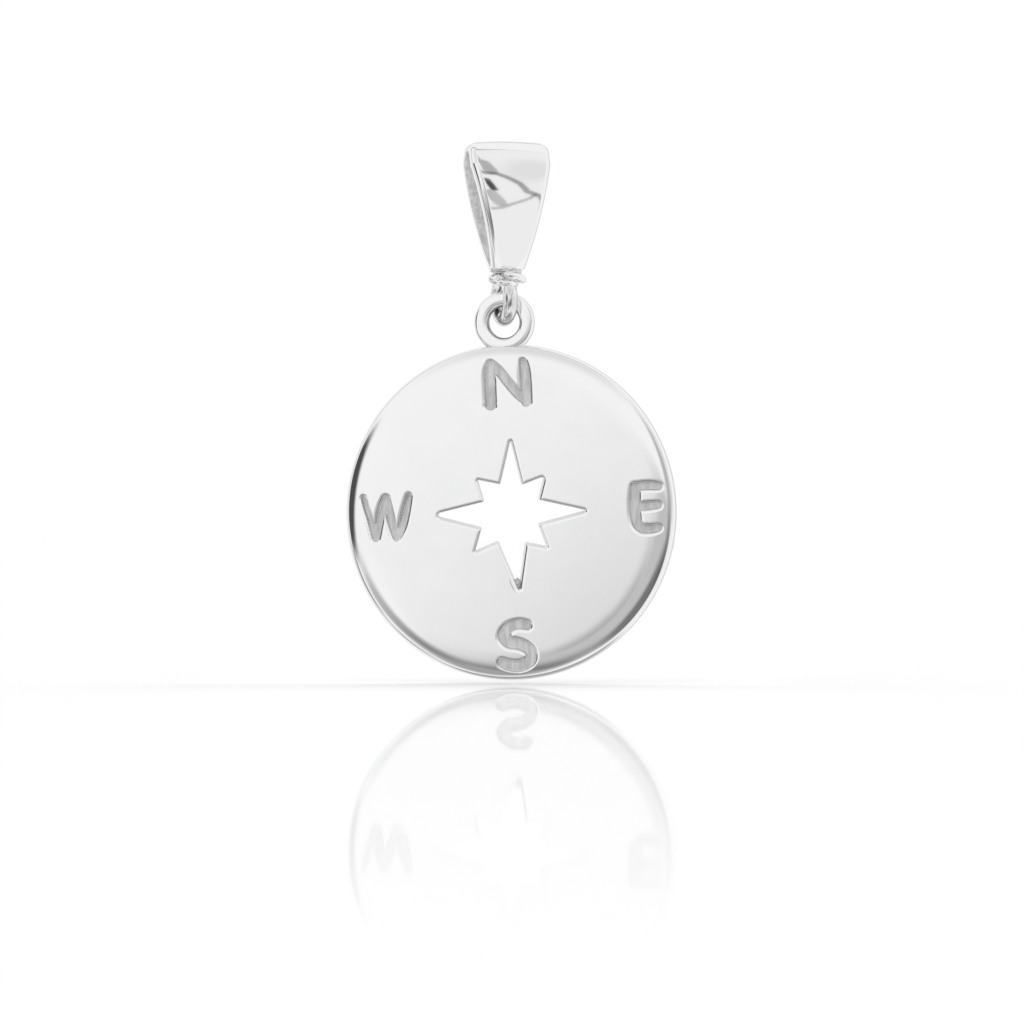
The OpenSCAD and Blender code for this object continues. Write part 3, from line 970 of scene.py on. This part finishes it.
def studio_world():
    """A white tent round the pendant, with the dark gaps that polished silver shows. Bearings are degrees
    to the right of straight ahead of the plate, and heights degrees above the horizon."""
    world = bpy.data.worlds.new("tent")
    bpy.context.scene.world = world
    world.use_nodes = True
    t = Nodes(world.node_tree)
    ways_in = t.node("ShaderNodeTexCoord").outputs["Generated"]
    place = t.node("ShaderNodeSeparateXYZ")
    t.put(place.inputs[0], ways_in)
    x, y, z = place.outputs
    bearing = t.math("MULTIPLY", t.math("ARCTAN2", x, t.math("MULTIPLY", y, -1.0)), degrees(1))
    height = t.math("MULTIPLY", t.math("ARCSINE", z), degrees(1))
    both = t.node("ShaderNodeCombineXYZ")
    t.put(both.inputs[0], bearing)
    t.put(both.inputs[1], height)
    both = both.outputs[0]

    mirrored = (-sin(CAMERA_TURN), -cos(CAMERA_TURN), 0)
    tilt = t.math("MULTIPLY", t.math("ARCCOSINE", t.vector("DOT_PRODUCT", ways_in, mirrored)), degrees(1))

    def blob(at, up, wide, tall, edge):
        """1 inside an oval and 0 outside it: its bearing and height, its half width and half height, and
        the share of its radius at which its soft edge starts."""
        a = t.math("DIVIDE", t.math("SUBTRACT", bearing, at), wide)
        b = t.math("DIVIDE", t.math("SUBTRACT", height, up), tall)
        r = t.math("SQRT", t.math("ADD", t.math("MULTIPLY", a, a), t.math("MULTIPLY", b, b)))
        return t.ramp(r, edge, 1.0, 1.0, 0.0)

    def band(points, half, soft):
        """1 along a bent line, half as wide as it is, and 0 outside a soft edge, in degrees."""
        least = None
        for a, b in zip(points, points[1:]):
            run = Vector((b[0] - a[0], b[1] - a[1], 0))
            away = t.vector("SUBTRACT", both, (a[0], a[1], 0))
            share = t.math("DIVIDE", t.vector("DOT_PRODUCT", away, run), run.length_squared)
            share = t.math("MINIMUM", t.math("MAXIMUM", share, 0.0), 1.0)
            to = t.node("ShaderNodeCombineXYZ")
            t.put(to.inputs[0], t.math("MULTIPLY", share, run.x))
            t.put(to.inputs[1], t.math("MULTIPLY", share, run.y))
            d = t.vector("LENGTH", t.vector("SUBTRACT", away, to.outputs[0]))
            least = d if least is None else t.math("MINIMUM", least, d)
        return t.ramp(least, half, half + soft, 1.0, 0.0)

    seen_in_bail = blob(54, 0, 24, 60, 0.8)
    hoop = t.ramp(t.math("ABSOLUTE", t.math("SUBTRACT", tilt, 74.0)), 3.0, 7.0, 1.0, 0.0)
    shades = [
        (blob(8, -14, 27.5, 21, 0.7), 0.42),     # the floor of the tent
        (blob(17, -18, 19, 16, 0.4), 0.66),      # below the camera, right
        (blob(-15, -27, 26, 20, 0.35), 0.6),     # below the camera, left
        (blob(-5, 42, 44, 30, 0.3), 0.2),        # overhead, in front
        (blob(-47, 4, 20, 16, 0.55), 0.92),      # gap at the left
        (blob(-58, -18, 12, 14, 0.5), 0.9),      # its lower end
        (blob(-57, -38, 18, 12, 0.3), 0.6),      # the floor under it
        (blob(-29, -15, 17.5, 12.5, 0.3), 0.5),  # the floor beside it
        (blob(26, 4, 11, 30, 0.4), 0.5),         # right of the camera
        (band([(38, 27), (40.6, 24.5), (46.5, 24), (49.3, 21.3), (52.3, 17), (54.4, 11.2), (59, 7),
               (61.5, 2.9), (63, -3)], 0.5, 1.2), 0.6),      # seams of the tent, seen in the bail
        (band([(39.5, -2.5), (44, -0.5), (49, 2.9), (55.3, 6.0), (57, 8)], 0.3, 1.1), 0.45),
        (band([(41.9, 19), (42.9, 12.5)], 0.9, 0.7), 0.93),      # the dark spot seen in the bail
        (band([(41, 9), (43.5, 3)], 2.2, 1.2), 0.42),            # the shade below the spot
        (band([(40, 38), (44.5, 33), (45, 26)], 1.6, 0.9), 0.5),     # and the one above it
        (blob(57, 26, 12, 12, 0.3), 0.13),       # a faint shade over the seams
        (blob(-8.5, -2.5, 3.6, 3.6, 0.2), 0.27),    # low beside the camera
        (seen_in_bail, 0.05),                    # all that the bail shows
        (t.math("MULTIPLY", hoop, t.math("SUBTRACT", 1.0, seen_in_bail)), 0.55),     # a hoop of the tent
        (t.ramp(tilt, 128.0, 140.0), 0.25),      # behind the pendant
        (t.ramp(height, -48.0, -64.0), 0.5),     # straight below
    ]
    light = 0.98
    for mask, depth in shades:
        light = t.math("MULTIPLY", light, t.math("SUBTRACT", 1.0, t.math("MULTIPLY", mask, depth)))
    bright_patch = t.math("MULTIPLY", blob(-169, 2, 10.5, 9, 0.6), 1.03)     # behind the pendant
    light = t.math("MAXIMUM", light, bright_patch)
    ways = t.node("ShaderNodeLightPath")
    tent = t.node("ShaderNodeBackground")
    t.put(tent.inputs["Color"], t.grey(light))
    # Dull surfaces are lit by a plain tent that is brightest at the horizon, and the camera sees it white
    plain = t.node("ShaderNodeBackground")
    level = t.math("SUBTRACT", 1.0, t.math("ABSOLUTE", z))
    dim = t.math("ADD", 0.2, t.math("MULTIPLY", 0.5, t.math("MULTIPLY", level, level)))
    backdrop = t.math("MULTIPLY", ways.outputs["Is Camera Ray"], 1.02)
    t.put(plain.inputs["Color"], t.grey(t.math("MAXIMUM", dim, backdrop)))
    scattered = t.math("MINIMUM", ways.outputs["Diffuse Depth"], 1.0)
    either = t.math("MAXIMUM", ways.outputs["Is Camera Ray"], scattered)
    mix = t.node("ShaderNodeMixShader")
    t.put(mix.inputs[0], either)
    t.put(mix.inputs[1], tent.outputs[0])
    t.put(mix.inputs[2], plain.outputs[0])
    t.put(t.node("ShaderNodeOutputWorld").inputs[0], mix.outputs[0])


def lamps():
    """Soft suns behind the plate and weaker ones before it: what stands on the floor gets a shadow to both
    sides, which is darkest where it stands."""
    behind = [(bearing, BEHIND_ENERGY) for bearing in LAMPS_BEHIND]
    before = [(bearing, BEFORE_ENERGY) for bearing in LAMPS_BEFORE]
    for k, (bearing, energy) in enumerate(behind + before):
        data = bpy.data.lights.new("lamp", "SUN")
        data.energy = energy
        data.angle = radians(LAMP_WIDTH)
        thing = bpy.data.objects.new(f"lamp_{k}", data)
        bpy.context.scene.collection.objects.link(thing)
        thing.rotation_euler = (radians(LAMP_HEIGHT - 90), 0, CAMERA_TURN + radians(bearing))
        thing.visible_glossy = False


def camera():
    """The camera of the photograph: a little to the right of the plate, level with its middle."""
    data = bpy.data.cameras.new("camera")
    data.lens = CAMERA_LENS
    data.sensor_width = 36.0
    data.clip_start, data.clip_end = 0.01, 10.0
    thing = bpy.data.objects.new("camera", data)
    bpy.context.scene.collection.objects.link(thing)
    thing.location = PHOTO_FROM
    thing.rotation_mode = "QUATERNION"
    thing.rotation_quaternion = (-CAMERA_BACK).to_track_quat("-Z", "Y")
    bpy.context.scene.camera = thing
    bpy.context.scene.view_settings.view_transform = "Standard"


def floor(low):
    """The floor of the photo at a height: part of the studio, not of the pendant."""
    mesh = bpy.data.meshes.new("floor")
    mesh.from_pydata([(-2, -2, low), (2, -2, low), (2, 2, low), (-2, 2, low)], [], [(0, 1, 2, 3)])
    mesh.materials.append(white_gloss())
    thing = bpy.data.objects.new("floor", mesh)
    bpy.context.scene.collection.objects.link(thing)
    thing.visible_glossy = False


camera()
studio_world()
lamps()
silver = polished_silver()
graved = dull_silver("graved_floor", dark=0.64, light=0.96, rough=(0.4, 0.6), bump=(0.5, 0.00003),
                     scale=3800.0, stretch=(1.0, 1.0, 0.22))
graved_edge = dull_silver("graved_edge", dark=0.74, light=0.9, rough=(0.3, 0.5), bump=(0.3, 0.00002),
                          scale=5000.0)
sawn = dull_silver("sawn_wall", dark=0.92, light=0.99, rough=(0.2, 0.35), bump=(0.3, 0.00003),
                   scale=2500.0, stretch=(1.0, 0.15, 1.0))
# Rough silver coloured dark: the dark colour is painted shade, on the eye ring's inner face by the link and on
# the burr down in the star's slot.
unpolished_painted_shade = dull_silver("unpolished_painted_shade", dark=0.42, light=0.62, rough=(0.18, 0.3), bump=(0.2, 0.00002),
                         scale=3000.0)
# Satin silver with a grain, coloured grey: on the link loop the grey is painted shade and painted dark
# reflection from below; on the solder at the strap's foot it is the solder's dull grain.
grainy_painted_shade = dull_silver("grainy_silver_painted_shade", dark=0.66, light=0.86, rough=(0.09, 0.16), bump=(0.25, 0.00003),
                      scale=2600.0)
inside = dull_silver("cast_inside", dark=0.66, light=0.94, rough=(0.4, 0.6), bump=(0.5, 0.00005),
                     scale=4200.0, metal=0.0)
plate_piece([silver, graved, graved_edge, sawn])
eye_piece([silver, unpolished_painted_shade])
# The burr's dark colour is painted shade in the slot.
burr_piece([unpolished_painted_shade])
strap_piece([silver, inside])
bead_piece("bead_front", [silver], y=-0.8, d=0.42, z=BEAD_Z + 0.13, x=0.16, tilt=-0.25, length=1.08,
           bow=0.14)
bead_piece("bead_back", [silver], y=BEAD_GAP / 2, d=0.5, z=BEAD_Z + 0.07)
bead_piece("bead_low", [silver], y=-1.0, d=0.26, z=BEAD_Z - 0.17, x=-0.18, tilt=-0.1, length=0.96,
           bow=0.4)
solder_piece("solder_foot", [grainy_painted_shade], middle=[-0.03, -0.04, FOOT_Z - 0.02], size=[0.72, 0.5, 0.25])
solder_piece("solder_left", [silver], middle=[-0.52, -0.35, BEAD_Z + 0.08], size=[0.24, 0.36, 0.2],
             swell=0.08)
solder_piece("solder_middle", [silver], middle=[-0.16, -0.5, BEAD_Z + 0.08], size=[0.2, 0.34, 0.17],
             swell=0.08)
# The link's grey colour is painted shade.
link_piece([grainy_painted_shade])
floor(float(cad_low.z) - FLOOR_DROP)
